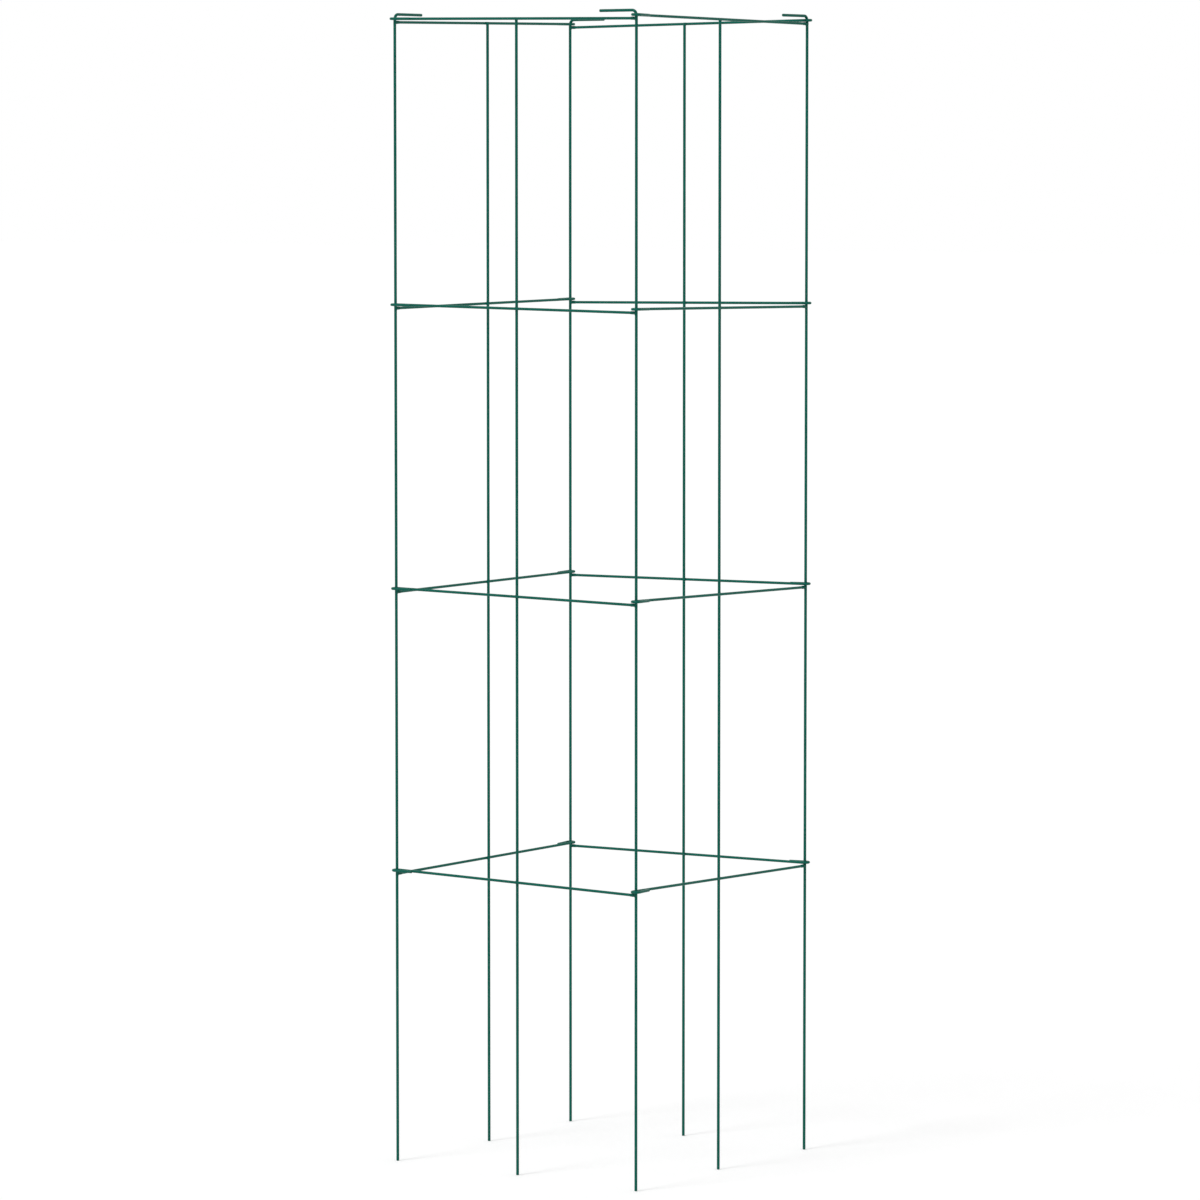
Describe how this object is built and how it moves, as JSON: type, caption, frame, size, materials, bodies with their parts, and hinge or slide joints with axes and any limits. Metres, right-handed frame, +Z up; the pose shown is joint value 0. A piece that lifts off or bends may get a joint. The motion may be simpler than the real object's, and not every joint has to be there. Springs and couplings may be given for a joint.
{
  "type": "tomato cage",
  "caption": "Square folding garden cage of green coated steel wire, whose panels hook round each other's corner legs. It stands in the soil round a tomato plant and holds it up.",
  "frame": {"origin": "middle of the square, on the plane of the wire ends that stand on the ground", "axes": "+Z up along the legs, X and Y along the sides of the square, -Y to the front panel"},
  "size_m": [0.3934, 0.3934, 1.4835],
  "materials": {
    "coated_wire": "satin green coating over steel wire"
  },
  "bodies": {
    "front_panel": {"front_corner_leg": "coated_wire", "front_mid_stake": "coated_wire", "front_top_rail": "coated_wire", "front_upper_rail": "coated_wire", "front_lower_rail": "coated_wire", "front_base_rail": "coated_wire"},
    "left_panel": {"left_corner_leg": "coated_wire", "left_mid_stake": "coated_wire", "left_top_rail": "coated_wire", "left_upper_rail": "coated_wire", "left_lower_rail": "coated_wire", "left_base_rail": "coated_wire"},
    "back_panel": {"back_corner_leg": "coated_wire", "back_mid_stake": "coated_wire", "back_top_rail": "coated_wire", "back_upper_rail": "coated_wire", "back_lower_rail": "coated_wire", "back_base_rail": "coated_wire"},
    "right_panel": {"right_corner_leg": "coated_wire", "right_mid_stake": "coated_wire", "right_top_rail": "coated_wire", "right_upper_rail": "coated_wire", "right_lower_rail": "coated_wire", "right_base_rail": "coated_wire"}
  },
  "joints": [
    {"name": "left_panel_fold", "type": "hinge", "parent": "front_panel", "child": "left_panel", "pos_m": [-0.19, -0.19, 0], "axis": [0, 0, 1], "range_deg": [-80, 80]},
    {"name": "right_panel_fold", "type": "hinge", "parent": "front_panel", "child": "right_panel", "pos_m": [0.19, -0.19, 0], "axis": [0, 0, 1], "range_deg": [-80, 80]},
    {"name": "back_panel_fold", "type": "hinge", "parent": "left_panel", "child": "back_panel", "pos_m": [-0.19, 0.19, 0], "axis": [0, 0, 1], "range_deg": [-80, 80]}
  ],
  "couplings": [
    {"joint": "right_panel_fold", "follows": "left_panel_fold", "ratio": 1},
    {"joint": "back_panel_fold", "follows": "left_panel_fold", "ratio": -1}
  ]
}
